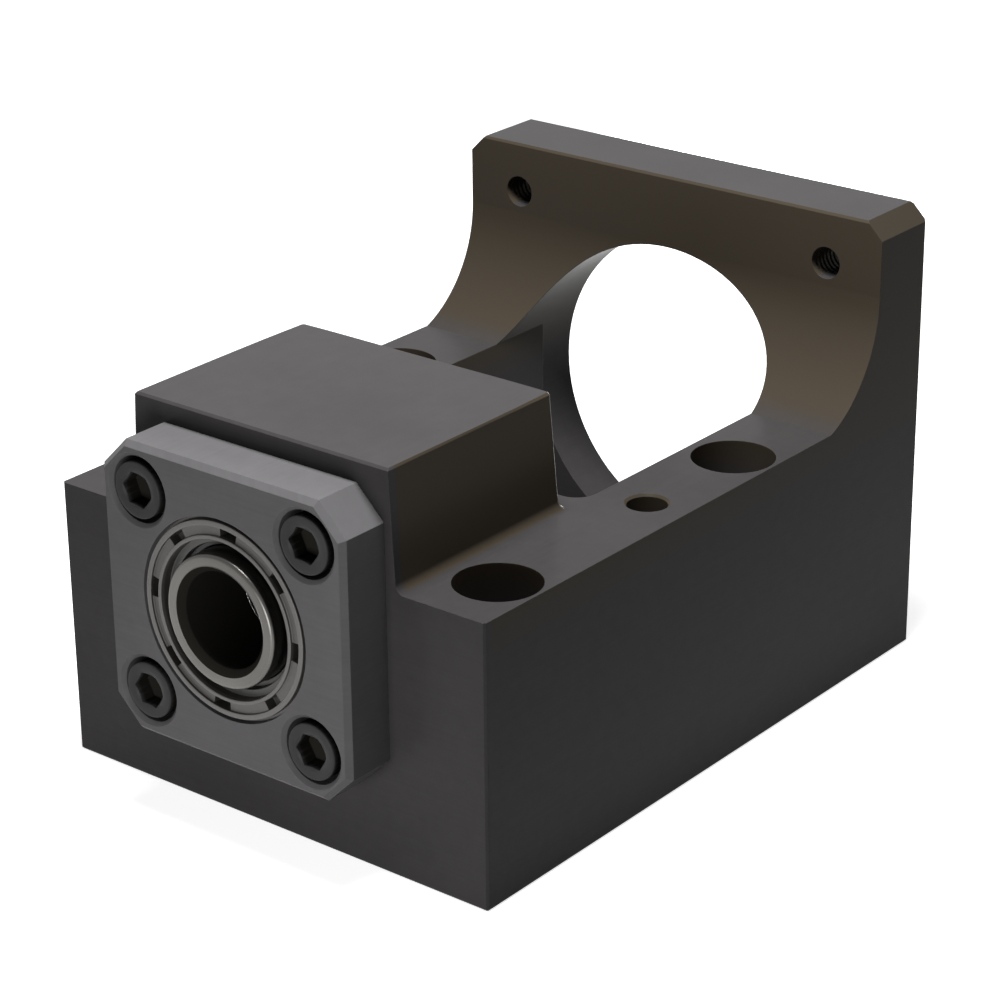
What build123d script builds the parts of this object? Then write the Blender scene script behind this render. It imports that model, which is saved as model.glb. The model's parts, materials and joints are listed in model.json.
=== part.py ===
from build123d import *
import math
import os

# Screw-end motor bracket, in millimetres.
# +Y runs along the ball screw towards the motor and +Z is up. The origin lies on the base,
# at the centre of the four base bolts.

# Bracket block and rails
body_width = 66.0
body_length = 90.0
screw_height = 30.0
rail_height = 36.5
rail_width = 12.2
edge_break = 0.3

# Boss that holds the bearings
boss_width = 39.0
boss_length = 29.5
boss_height = 51.5
boss_draft = 2.9
boss_corner_radius = 0.7
boss_foot_radius = 1.2

# Motor plate
plate_thickness = 10.5
plate_above_bolts = 6.75
plate_corner_chamfer = 2.3
plate_arc_radius = 16.5
plate_arc_reach = 10.2
motor_pilot_diameter = 50.05
motor_pilot_depth = 3.3
motor_bolt_spacing = 49.5
motor_thread_core = 4.2
motor_blind_depth = 12.0

# Coupling pocket
pocket_front = 33.5
pocket_floor = 7.0
pocket_corner_radius = 3.0

# Base fixing
base_bolt_from_side = 5.75
base_bolt_spacing_y = 46.5
base_bolt_setback = 9.5
base_bolt_hole = 6.6
base_bolt_sink = 10.6
base_bolt_sink_depth = 6.5
dowel_diameter = 5.0
dowel_setback = 38.0
dowel_chamfer = 0.3

# Bearings: angular contact, back to back
bearing_bore = 12.0
bearing_outside = 28.0
bearing_width = 8.0
bearing_seat_gap = 0.02
bearing_edge_radius = 0.4
race_land_inner = 16.6
race_land_outer = 23.4
race_relief_outer = 24.5
race_gap = 0.04
ball_diameter = 4.762
ball_count = 10
cage_thickness = 1.9
cage_width = 6.6
cage_pocket_gap = 0.12
bearing_shoulder_diameter = 23.8

# Cover and its screws
cover_width = 37.5
cover_thickness = 7.0
cover_corner_chamfer = 3.9
cover_face_bevel = 0.7
cover_spigot_length = 3.0
cover_spigot_bore = 24.4
cover_throat_diameter = 19.0
cover_throat_length = 1.6
screw_spacing = 25.8
screw_thread = 4.0
screw_clearance_hole = 4.5
screw_head_diameter = 7.1
screw_head_height = 4.0
screw_head_chamfer = 0.35
screw_sink_diameter = 8.3
screw_sink_chamfer = 0.5
screw_reach = 9.0
screw_fit_gap = 0.05
thread_runout = 2.0
socket_key = 4.0
socket_depth = 2.2
socket_mouth = 4.7
socket_mouth_depth = 0.35

# Seals
seal_seat_diameter = 25.4
seal_groove_width = 0.45
seal_groove_depth = 0.8
seal_rim_width = 0.7
seal_channel_width = 1.15
seal_channel_depth = 0.35
seal_inner_rim_width = 0.5
seal_pocket_count = 8
seal_pocket_width = 2.3
seal_pocket_depth = 1.6
seal_pocket_start_angle = -5.5
seal_step_depth = 1.5
seal_step_share = 0.4
seal_lip_depth = 2.6
seal_lip_thickness = 0.8
seal_lip_gap = 0.1
rear_seal_width = 4.5
rear_seal_inset = 0.5
rear_seal_rim = 1.4
rear_seal_web = 1.0

# Collars on the screw
collar_outside = 16.6
collar_proud = 0.7
collar_bore_chamfer = 0.85
collar_edge_radius = 0.45
collar_rear_past_boss = 1.0

# Lock nut
nut_diameter = 22.0
nut_width = 8.0
nut_thread_core = 10.9
nut_thread_chamfer = 0.6
nut_edge_chamfer = 0.6
nut_slot_count = 4
nut_slot_width = 4.0
nut_slot_depth = 1.6
set_screw_diameter = 3.0
set_screw_length = 3.6
set_screw_key = 1.5
set_screw_key_depth = 1.4
set_screw_inset = 0.5
set_screw_fit_gap = 0.02
set_screw_angles = (45.0, 135.0)

# Sizes and places that follow. One bore makes the arch through the arcs and the motor window.
pocket_width = body_width - 2 * rail_width
rail_above_screw = rail_height - screw_height
pocket_arch_radius = math.hypot(pocket_width / 2, rail_above_screw)
base_bolt_spacing_x = body_width - 2 * base_bolt_from_side
plate_height = screw_height + motor_bolt_spacing / 2 + plate_above_bolts
front_y = -base_bolt_spacing_y / 2 - base_bolt_setback
rear_y = front_y + body_length
plate_front_y = rear_y - plate_thickness
arc_centre_y = plate_front_y - plate_arc_radius
arc_foot_y = plate_front_y - plate_arc_reach
arc_centre_z = rail_height + math.sqrt(plate_arc_radius**2 - (arc_foot_y - arc_centre_y) ** 2)
pocket_front_y = front_y + pocket_front
cover_face_y = front_y - cover_thickness
bearing_front_y = front_y + cover_spigot_length
bearing_rear_y = bearing_front_y + 2 * bearing_width
seal_seat_depth = cover_thickness - cover_throat_length
seal_front_diameter = seal_seat_diameter - 2 * seal_groove_width
seal_channel_outer = seal_front_diameter - 2 * seal_rim_width
seal_channel_inner = seal_channel_outer - 2 * seal_channel_width
seal_bore = seal_channel_inner - 2 * seal_inner_rim_width
seal_lip_bore = collar_outside + 2 * seal_lip_gap
seal_step_diameter = seal_lip_bore + seal_step_share * (seal_bore - seal_lip_bore)
pitch_radius = (race_land_inner + race_land_outer) / 4
race_radius = ball_diameter / 2 + race_gap
rear_seal_front_y = front_y + boss_length - rear_seal_inset - rear_seal_width
collar_front_y = cover_face_y - collar_proud
nut_front_y = front_y + boss_length + collar_rear_past_boss
screw_axis = Axis((0, 0, screw_height), (0, 1, 0))
cover_plane = Plane(origin=(0, cover_face_y, screw_height), x_dir=(1, 0, 0), z_dir=(0, -1, 0))
front_plane = Plane(origin=(0, front_y, screw_height), x_dir=(1, 0, 0), z_dir=(0, -1, 0))
rear_plane = Plane(origin=(0, rear_y, screw_height), x_dir=(-1, 0, 0), z_dir=(0, 1, 0))
rail_plane = Plane.XY.offset(rail_height)

os.makedirs("parts", exist_ok=True)


def finish(part, name):
    """Label a finished piece and write it."""
    part.label = name
    export_step(part, f"parts/{name}.step")


def section(y, diameter):
    """Point of a turned section: place along the screw, and diameter about it."""
    return (y, screw_height + diameter / 2)


def plane_across(y):
    """Plane square to the screw at y, with its normal towards the motor and its x along +X."""
    return Plane(origin=(0, y, screw_height), x_dir=(1, 0, 0), z_dir=(0, 1, 0))


def radial_plane(y, angle):
    """Plane on the screw's axis at y, whose normal points outwards at an angle above +X."""
    turn = math.radians(angle)
    return Plane(
        origin=(0, y, screw_height), x_dir=(0, 1, 0), z_dir=(math.cos(turn), 0, math.sin(turn))
    )


def make_bracket_body():
    """One block: rails, boss, coupling pocket and motor plate, with every seat and hole."""
    half_width = body_width / 2
    boss_rise = boss_height - rail_height
    draft = boss_rise * math.tan(math.radians(boss_draft))
    with BuildPart() as body:
        # Rails and motor plate share one side outline, carried across the width.
        with BuildSketch(Plane.YZ.offset(-half_width)):
            with BuildLine():
                Polyline(
                    (arc_foot_y, rail_height),
                    (front_y, rail_height),
                    (front_y, 0),
                    (rear_y, 0),
                    (rear_y, plate_height),
                    (plate_front_y, plate_height),
                    (plate_front_y, arc_centre_z),
                )
                RadiusArc((plate_front_y, arc_centre_z), (arc_foot_y, rail_height), plate_arc_radius)
            make_face()
        extrude(amount=body_width)
        plate_corners = body.edges().filter_by(Axis.Y).group_by(Axis.Z)[-1]
        chamfer(plate_corners, plate_corner_chamfer)
        chamfer(body.edges().filter_by(Axis.Z).group_by(Axis.Y)[0], edge_break)
        chamfer(body.edges().filter_by(Axis.Z).group_by(Axis.Y)[-1], edge_break)
        chamfer(body.faces().sort_by(Axis.Z)[0].edges(), edge_break)
        chamfer(body.edges().filter_by(Axis.X).group_by(Axis.Z)[-1], edge_break)

        # The boss widens towards its foot at the sides and the back; its front is flush.
        with BuildSketch(rail_plane):
            with Locations((0, front_y)):
                Rectangle(boss_width + 2 * draft, boss_length + draft, align=(Align.CENTER, Align.MIN))
        with BuildSketch(Plane.XY.offset(boss_height)):
            with Locations((0, front_y)):
                Rectangle(boss_width, boss_length, align=(Align.CENTER, Align.MIN))
        loft()
        boss_rear_y = front_y + boss_length
        back_corners = body.edges().filter_by(
            lambda edge: edge.length > boss_rise
            and abs(edge.length - boss_rise) < boss_rise * 0.05
            and abs((edge @ 1).Z + (edge @ 0).Z - rail_height - boss_height) < 0.01
            and (edge @ 0.5).Y > boss_rear_y
        )
        fillet(back_corners, boss_corner_radius)
        boss_top = body.faces().filter_by(Plane.XY).filter_by(
            lambda face: abs(face.center().Z - boss_height) < 0.01
        )
        chamfer(boss_top.edges(), edge_break)
        foot = body.edges().filter_by(
            lambda edge: abs((edge @ 0).Z - rail_height) < 0.01
            and abs((edge @ 1).Z - rail_height) < 0.01
            and (edge @ 0.5).Y > front_y + 0.01
            and (edge @ 0.5).Y < boss_rear_y + boss_corner_radius + draft
            and abs((edge @ 0.5).X) < (boss_width + boss_corner_radius) / 2 + draft
        )
        fillet(foot, boss_foot_radius)

        # Coupling pocket: a box between the rails, open at the top.
        with BuildSketch(Plane.XY.offset(pocket_floor)) as pocket:
            with Locations((0, pocket_front_y)):
                Rectangle(
                    pocket_width, plate_front_y - pocket_front_y, align=(Align.CENTER, Align.MIN)
                )
            fillet(pocket.vertices().group_by(Axis.Y)[0], pocket_corner_radius)
        extrude(amount=rail_height - pocket_floor, mode=Mode.SUBTRACT)

        # Above the rails the pocket goes on as an arch through the two arcs of the motor plate.
        with BuildSketch(plane_across(arc_foot_y)):
            Circle(pocket_arch_radius)
            with Locations((0, -rail_above_screw)):
                Rectangle(
                    2 * pocket_arch_radius,
                    pocket_arch_radius,
                    align=(Align.CENTER, Align.MAX),
                    mode=Mode.INTERSECT,
                )
        extrude(amount=plate_front_y - arc_foot_y, mode=Mode.SUBTRACT)

        # Motor window and motor pilot.
        with BuildSketch(plane_across(plate_front_y)):
            Circle(pocket_arch_radius)
        extrude(amount=plate_thickness, mode=Mode.SUBTRACT)
        with BuildSketch(rear_plane):
            Circle(motor_pilot_diameter / 2)
        extrude(amount=-motor_pilot_depth, mode=Mode.SUBTRACT)

        # Bearing seat from the front, shoulder, and the rear seal's seat from the pocket.
        with BuildSketch(front_plane):
            Circle(bearing_outside / 2)
        extrude(amount=-(bearing_rear_y - front_y), mode=Mode.SUBTRACT)
        with BuildSketch(front_plane):
            Circle(bearing_shoulder_diameter / 2)
        extrude(amount=-pocket_front, mode=Mode.SUBTRACT)
        with BuildSketch(plane_across(rear_seal_front_y)):
            Circle(seal_seat_diameter / 2)
        extrude(amount=pocket_front_y - rear_seal_front_y, mode=Mode.SUBTRACT)

        # Threads for the cover screws, as plain bores at the screws' own size.
        with Locations(front_plane):
            with GridLocations(screw_spacing, screw_spacing, 2, 2):
                Hole(screw_thread / 2 + screw_fit_gap / 2, depth=screw_reach + thread_runout)

        # Motor threads: the upper pair goes through the plate, the lower pair is blind.
        with Locations(rear_plane):
            with GridLocations(motor_bolt_spacing, motor_bolt_spacing, 2, 2):
                Hole(motor_thread_core / 2, depth=motor_blind_depth)

        # Sunk base bolts and reamed dowel holes through the rails.
        with Locations(rail_plane):
            with GridLocations(base_bolt_spacing_x, base_bolt_spacing_y, 2, 2):
                CounterBoreHole(base_bolt_hole / 2, base_bolt_sink / 2, base_bolt_sink_depth)
        dowel_mouth = dowel_diameter / 2 + dowel_chamfer
        with Locations((0, front_y + dowel_setback, rail_height)):
            with GridLocations(base_bolt_spacing_x, 0, 2, 1):
                CounterSinkHole(dowel_diameter / 2, dowel_mouth, counter_sink_angle=90)
    finish(body.part, "bracket_body")


def make_bearing_cover():
    """Square cover with cut corners: spigot on the outer ring, seat for the seal, four sunk screws."""
    with BuildPart() as cover:
        with BuildSketch(front_plane):
            Rectangle(cover_width, cover_width)
        extrude(amount=cover_thickness)
        chamfer(cover.edges().filter_by(Axis.Y), cover_corner_chamfer)
        face_outline = cover.faces().sort_by(Axis.Y)[0].edges()
        chamfer(face_outline, cover_face_bevel)
        with BuildSketch(front_plane):
            Circle(bearing_outside / 2 - bearing_seat_gap)
        extrude(amount=-cover_spigot_length)
        with BuildSketch(plane_across(bearing_front_y)):
            Circle(cover_spigot_bore / 2)
        extrude(amount=-cover_spigot_length, mode=Mode.SUBTRACT)
        with BuildSketch(cover_plane):
            Circle(cover_throat_diameter / 2)
        extrude(amount=-cover_thickness, mode=Mode.SUBTRACT)
        with BuildSketch(cover_plane):
            Circle(seal_seat_diameter / 2)
        extrude(amount=-seal_seat_depth, mode=Mode.SUBTRACT)
        with Locations(cover_plane):
            with GridLocations(screw_spacing, screw_spacing, 2, 2):
                CounterBoreHole(screw_clearance_hole / 2, screw_sink_diameter / 2, screw_head_height)
        rims = cover.faces().sort_by(Axis.Y)[0].edges().filter_by(GeomType.CIRCLE)
        sink_rims = rims.filter_by(lambda edge: abs(edge.radius - screw_sink_diameter / 2) < 0.01)
        chamfer(sink_rims, screw_sink_chamfer)
    finish(cover.part, "bearing_cover")


def make_cover_screws():
    """Four identical socket cap screws, flush in the cover."""
    with BuildPart() as screws:
        with BuildSketch(cover_plane):
            with GridLocations(screw_spacing, screw_spacing, 2, 2):
                Circle(screw_head_diameter / 2)
        extrude(amount=-screw_head_height)
        chamfer(screws.faces().group_by(Axis.Y)[0].edges(), screw_head_chamfer)
        with BuildSketch(cover_plane.offset(-screw_head_height)):
            with GridLocations(screw_spacing, screw_spacing, 2, 2):
                Circle(screw_thread / 2)
        extrude(amount=-(cover_thickness - screw_head_height + screw_reach))
        with BuildSketch(cover_plane):
            with GridLocations(screw_spacing, screw_spacing, 2, 2):
                Circle(socket_mouth / 2)
        extrude(amount=-socket_mouth_depth, mode=Mode.SUBTRACT)
        with BuildSketch(cover_plane):
            with GridLocations(screw_spacing, screw_spacing, 2, 2):
                RegularPolygon(socket_key / 2, 6, major_radius=False, rotation=30)
        extrude(amount=-socket_depth, mode=Mode.SUBTRACT)
    finish(screws.part, "cover_screws")


def make_front_seal():
    """Moulded ring, flush in the cover: grooved rim, shallow channel with pockets, step and lip."""
    face_y = cover_face_y
    back_y = cover_face_y + seal_seat_depth
    channel_y = face_y + seal_channel_depth
    step_y = face_y + seal_step_depth
    lip_y = face_y + seal_lip_depth
    with BuildPart() as seal:
        with BuildSketch(Plane.YZ):
            with BuildLine():
                Polyline(
                    section(face_y, seal_front_diameter),
                    section(face_y + seal_groove_depth, seal_front_diameter),
                    section(face_y + seal_groove_depth, seal_seat_diameter),
                    section(back_y, seal_seat_diameter),
                    section(back_y, seal_bore),
                    section(lip_y + seal_lip_thickness, seal_bore),
                    section(lip_y + seal_lip_thickness, seal_lip_bore),
                    section(lip_y, seal_lip_bore),
                    section(lip_y, seal_step_diameter),
                    section(step_y, seal_step_diameter),
                    section(step_y, seal_bore),
                    section(face_y, seal_bore),
                    section(face_y, seal_channel_inner),
                    section(channel_y, seal_channel_inner),
                    section(channel_y, seal_channel_outer),
                    section(face_y, seal_channel_outer),
                    close=True,
                )
            make_face()
        revolve(axis=screw_axis)
        with BuildSketch(cover_plane):
            channel_radius = (seal_channel_outer + seal_channel_inner) / 4
            with PolarLocations(channel_radius, seal_pocket_count, seal_pocket_start_angle):
                Rectangle(seal_channel_width, seal_pocket_width)
        extrude(amount=-seal_pocket_depth, mode=Mode.SUBTRACT)
    finish(seal.part, "front_seal")


def make_rear_seal():
    """Plain lip seal in the pocket end of the boss."""
    back_y = rear_seal_front_y + rear_seal_width
    rim_bore = seal_seat_diameter - 2 * rear_seal_rim
    with BuildPart() as seal:
        with BuildSketch(Plane.YZ):
            with BuildLine():
                Polyline(
                    section(rear_seal_front_y, seal_seat_diameter),
                    section(back_y, seal_seat_diameter),
                    section(back_y, seal_lip_bore),
                    section(back_y - rear_seal_web, seal_lip_bore),
                    section(back_y - rear_seal_web, rim_bore),
                    section(rear_seal_front_y, rim_bore),
                    close=True,
                )
            make_face()
        revolve(axis=screw_axis)
    finish(seal.part, "rear_seal")


def make_collars():
    """Front collar that stands proud of the cover, and the rear collar between bearing and nut."""
    with BuildPart() as front:
        with BuildSketch(Plane.YZ):
            with BuildLine():
                Polyline(
                    section(collar_front_y, bearing_bore),
                    section(collar_front_y, collar_outside),
                    section(bearing_front_y, collar_outside),
                    section(bearing_front_y, bearing_bore),
                    close=True,
                )
            make_face()
        revolve(axis=screw_axis)
        rim = front.faces().sort_by(Axis.Y)[0].edges()
        chamfer(rim.sort_by(SortBy.RADIUS)[0], collar_bore_chamfer)
        rim = front.faces().sort_by(Axis.Y)[0].edges()
        fillet(rim.sort_by(SortBy.RADIUS)[-1], collar_edge_radius)
    finish(front.part, "front_collar")
    with BuildPart() as rear:
        with BuildSketch(Plane.YZ):
            with BuildLine():
                Polyline(
                    section(bearing_rear_y, bearing_bore),
                    section(bearing_rear_y, collar_outside),
                    section(nut_front_y, collar_outside),
                    section(nut_front_y, bearing_bore),
                    close=True,
                )
            make_face()
        revolve(axis=screw_axis)
    finish(rear.part, "rear_collar")


def make_bearing(end, front, relief_side):
    """One angular contact bearing. Its open shoulder is on relief_side: -1 front, +1 back."""
    back = front + bearing_width
    middle = front + bearing_width / 2
    outside = bearing_outside - 2 * bearing_seat_gap
    front_land = race_relief_outer if relief_side < 0 else race_land_outer
    back_land = race_relief_outer if relief_side > 0 else race_land_outer

    with BuildPart() as outer:
        with BuildSketch(Plane.YZ):
            with BuildLine():
                Polyline(
                    section(front, outside),
                    section(back, outside),
                    section(back, back_land),
                    section(middle, back_land),
                    section(middle, front_land),
                    section(front, front_land),
                    close=True,
                )
            make_face()
        revolve(axis=screw_axis)
        with BuildSketch(Plane.YZ):
            with Locations((middle, screw_height + pitch_radius)):
                Circle(race_radius)
        revolve(axis=screw_axis, mode=Mode.SUBTRACT)
        corners = outer.edges().filter_by(GeomType.CIRCLE).filter_by(
            lambda edge: abs(edge.radius - outside / 2) < 0.01
        )
        fillet(corners, bearing_edge_radius)
    finish(outer.part, f"{end}_outer_ring")

    with BuildPart() as inner:
        with BuildSketch(Plane.YZ):
            with BuildLine():
                Polyline(
                    section(front, bearing_bore),
                    section(back, bearing_bore),
                    section(back, race_land_inner),
                    section(front, race_land_inner),
                    close=True,
                )
            make_face()
        revolve(axis=screw_axis)
        with BuildSketch(Plane.YZ):
            with Locations((middle, screw_height + pitch_radius)):
                Circle(race_radius)
        revolve(axis=screw_axis, mode=Mode.SUBTRACT)
    finish(inner.part, f"{end}_inner_ring")

    with BuildPart() as cage:
        with BuildSketch(Plane.YZ):
            with BuildLine():
                Polyline(
                    section(middle - cage_width / 2, 2 * pitch_radius - cage_thickness),
                    section(middle + cage_width / 2, 2 * pitch_radius - cage_thickness),
                    section(middle + cage_width / 2, 2 * pitch_radius + cage_thickness),
                    section(middle - cage_width / 2, 2 * pitch_radius + cage_thickness),
                    close=True,
                )
            make_face()
        revolve(axis=screw_axis)
        with Locations(plane_across(middle)):
            with PolarLocations(pitch_radius, ball_count):
                Cylinder(
                    ball_diameter / 2 + cage_pocket_gap,
                    4 * cage_thickness,
                    rotation=(0, 90, 0),
                    mode=Mode.SUBTRACT,
                )
    finish(cage.part, f"{end}_cage")

    for index in range(ball_count):
        angle = math.radians(index * 360 / ball_count)
        centre = (pitch_radius * math.cos(angle), middle, screw_height - pitch_radius * math.sin(angle))
        with BuildPart() as ball:
            with Locations(centre):
                Sphere(ball_diameter / 2)
        finish(ball.part, f"{end}_ball_{index + 1:02d}")


def make_lock_nut():
    """Round nut with spanner slots, and two radial set screws that press brass pads on the thread."""
    nut_back_y = nut_front_y + nut_width
    nut_middle_y = nut_front_y + nut_width / 2
    hole_radius = set_screw_diameter / 2 + set_screw_fit_gap
    screw_top = nut_diameter / 2 - set_screw_inset
    screw_bottom = screw_top - set_screw_length
    pad_bottom = nut_thread_core / 2
    with BuildPart() as nut:
        with BuildSketch(Plane.YZ):
            with BuildLine():
                Polyline(
                    section(nut_front_y, nut_thread_core + 2 * nut_thread_chamfer),
                    section(nut_front_y, nut_diameter - 2 * nut_edge_chamfer),
                    section(nut_front_y + nut_edge_chamfer, nut_diameter),
                    section(nut_back_y - nut_edge_chamfer, nut_diameter),
                    section(nut_back_y, nut_diameter - 2 * nut_edge_chamfer),
                    section(nut_back_y, nut_thread_core + 2 * nut_thread_chamfer),
                    section(nut_back_y - nut_thread_chamfer, nut_thread_core),
                    section(nut_front_y + nut_thread_chamfer, nut_thread_core),
                    close=True,
                )
            make_face()
        revolve(axis=screw_axis)
        with BuildSketch(plane_across(nut_front_y)):
            with PolarLocations(nut_diameter / 2, nut_slot_count):
                Rectangle(2 * nut_slot_depth, nut_slot_width)
        extrude(amount=nut_width, mode=Mode.SUBTRACT)
        for angle in set_screw_angles:
            with BuildSketch(radial_plane(nut_middle_y, angle)):
                Circle(hole_radius)
            extrude(amount=nut_diameter, mode=Mode.SUBTRACT)
    finish(nut.part, "lock_nut")

    with BuildPart() as set_screws:
        for angle in set_screw_angles:
            with BuildSketch(radial_plane(nut_middle_y, angle).offset(screw_bottom)):
                Circle(set_screw_diameter / 2)
            extrude(amount=set_screw_length)
            with BuildSketch(radial_plane(nut_middle_y, angle).offset(screw_top)):
                RegularPolygon(set_screw_key / 2, 6, major_radius=False)
            extrude(amount=-set_screw_key_depth, mode=Mode.SUBTRACT)
    finish(set_screws.part, "nut_set_screws")

    for index, angle in enumerate(set_screw_angles):
        with BuildPart() as pad:
            with BuildSketch(radial_plane(nut_middle_y, angle).offset(pad_bottom)):
                Circle(set_screw_diameter / 2)
            extrude(amount=screw_bottom - pad_bottom)
        finish(pad.part, f"nut_pad_{index + 1}")


make_bracket_body()
make_bearing_cover()
make_cover_screws()
make_front_seal()
make_rear_seal()
make_collars()
make_bearing("front", bearing_front_y, -1)
make_bearing("rear", bearing_front_y + bearing_width, 1)
make_lock_nut()
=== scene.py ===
import json
import math

import bpy
import numpy as np
from mathutils import Matrix, Vector


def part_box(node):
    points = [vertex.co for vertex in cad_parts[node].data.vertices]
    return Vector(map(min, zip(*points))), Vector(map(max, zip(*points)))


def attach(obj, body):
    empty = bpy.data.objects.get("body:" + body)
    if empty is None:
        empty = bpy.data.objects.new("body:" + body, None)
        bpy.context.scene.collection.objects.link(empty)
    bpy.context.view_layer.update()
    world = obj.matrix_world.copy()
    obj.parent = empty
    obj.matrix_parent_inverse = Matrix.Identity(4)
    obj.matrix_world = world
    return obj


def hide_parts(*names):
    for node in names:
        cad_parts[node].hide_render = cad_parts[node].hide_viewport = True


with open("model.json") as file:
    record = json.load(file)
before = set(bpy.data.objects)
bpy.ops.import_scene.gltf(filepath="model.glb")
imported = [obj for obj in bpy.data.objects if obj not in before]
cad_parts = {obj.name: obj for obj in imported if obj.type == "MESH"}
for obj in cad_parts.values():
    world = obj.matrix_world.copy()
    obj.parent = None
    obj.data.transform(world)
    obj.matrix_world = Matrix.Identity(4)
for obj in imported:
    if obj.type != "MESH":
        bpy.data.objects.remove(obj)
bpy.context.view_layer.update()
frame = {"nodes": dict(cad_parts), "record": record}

bl_info = {
    "name": "Screw-end Motor Bracket",
    "version": (1, 0, 0),
    "blender": (4, 5, 0),
    "location": "3D View > Sidebar > Motor Bracket",
    "description": "Finishes, turned and moulded pieces and studio stage for a screw-end motor "
                   "bracket",
    "category": "Object",
}

MM = 0.001
SEAL_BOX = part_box("front_seal")
COLLAR_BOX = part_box("front_collar")
SCREW_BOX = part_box("cover_screws")
SCREW_CENTRE = ((COLLAR_BOX[0].x + COLLAR_BOX[1].x) / 2, (COLLAR_BOX[0].z + COLLAR_BOX[1].z) / 2)

# Kinds of socket that the shader groups have.
FLOAT, COLOUR, VECTOR = "NodeSocketFloat", "NodeSocketColor", "NodeSocketVector"

# Edges of the pieces made here that turn by more than this stay sharp.
SHARP_ANGLE = math.radians(40)

# The blackened steel mirrors very little.
OXIDE_SPECULAR = 0.03

# The painted shade in the collar's bore and the painted shade colour of the seal's channel end in a
# soft step this wide.
HOLLOW_FADE = 0.06 * MM

# Where it is seen or mirrored, the floor is pale and has a white of its own. That white grows to
# full from the near distance to the far one, so that the part's shadow shows. To all other light
# the floor is dark grey and throws little back.
FLOOR_HALF_WIDTH = 3.0
FLOOR_GREY = 0.12
FLOOR_PALE = 0.85
FLOOR_OWN_WHITE = 0.82
FLOOR_NEAR, FLOOR_FAR = 0.12, 0.5

# Each lamp's name, place, target, side length and the setting that holds its power.
LAMPS = (
    ("top_box", (0.018, -0.02, 0.26), (0.005, -0.01, 0.04), 0.08, "top_light"),
    ("rear_box", (-0.12, 0.24, 0.016), (0.0, 0.05, 0.03), 0.03, "rear_light"),
    ("front_box", (0.03, -0.15, 0.012), (0.006, -0.033, 0.014), 0.06, "front_light"),
)


def colour_setting(name, description, value):
    """Colour of a finish."""
    return bpy.props.FloatVectorProperty(
        name=name, description=description, subtype="COLOR", size=3, min=0, max=1, default=value,
    )


def share_setting(name, description, value):
    """Number between 0 and 1."""
    return bpy.props.FloatProperty(
        name=name, description=description, subtype="FACTOR", min=0, max=1, default=value,
    )


def length_setting(name, description, millimetres):
    """Length, given in millimetres."""
    return bpy.props.FloatProperty(
        name=name, description=description, unit="LENGTH", default=millimetres * MM,
    )


def power_setting(name, description, watts):
    """Power of a lamp."""
    return bpy.props.FloatProperty(name=name, description=description, unit="POWER", default=watts)


class BracketFinish(bpy.types.PropertyGroup):
    """Colours and surface values of the finishes."""

    body_colour: colour_setting("Block", "Blackened steel of the block", (0.043, 0.0405, 0.041))
    # Painted shade: a warm brown tint for the upright faces between the boss and the motor plate,
    # where the shade falls.
    body_shade_tint: colour_setting(
        "Block, brown", "Brown cast in the blackened steel", (0.05, 0.0405, 0.0295)
    )
    cover_colour: colour_setting(
        "Cover", "Blackened steel of the bearing cover", (0.118, 0.1145, 0.118)
    )
    screw_colour: colour_setting(
        "Screws", "Blackened steel of the screws and the nut", (0.05, 0.049, 0.05)
    )
    # Painted shade: black for the deep insides of the screws' sockets, the seal's pockets and the
    # collar's bore.
    painted_shade_colour: colour_setting(
        "Painted shade", "Black left inside sockets and the collar's bore", (0.018, 0.017, 0.0145)
    )
    # Lighter edges: part wear and part painted highlight.
    edge_wear_highlight_colour: colour_setting(
        "Worn and highlit edge", "Steel that shows along the edges", (0.19, 0.182, 0.17)
    )
    seal_colour: colour_setting("Front seal", "Moulded seal in the cover", (0.06, 0.056, 0.053))
    # Painted shade for the seal's recessed channel.
    seal_channel_shade: colour_setting(
        "Seal channel", "Dark painted shade in the seal's channel", (0.021, 0.0175, 0.0145)
    )
    rubber_colour: colour_setting("Rear seal", "Rubber of the rear seal", (0.02, 0.02, 0.021))
    collar_colour: colour_setting("Collar", "Ground steel of the collars", (0.105, 0.101, 0.095))
    bearing_colour: colour_setting("Bearing", "Ground steel of rings and balls", (0.5, 0.5, 0.5))
    brass_colour: colour_setting("Brass", "Brass of the cages and pads", (0.65, 0.5, 0.24))
    oxide_roughness: share_setting("Oxide roughness", "Roughness of the blackened steel", 0.3)
    steel_roughness: share_setting("Steel roughness", "Roughness of the ground steel", 0.3)
    edge_radius: bpy.props.FloatProperty(
        name="Edge radius", description="Radius that the light sees on every sharp edge",
        unit="LENGTH", min=0, default=0.12 * MM,
    )


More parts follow.
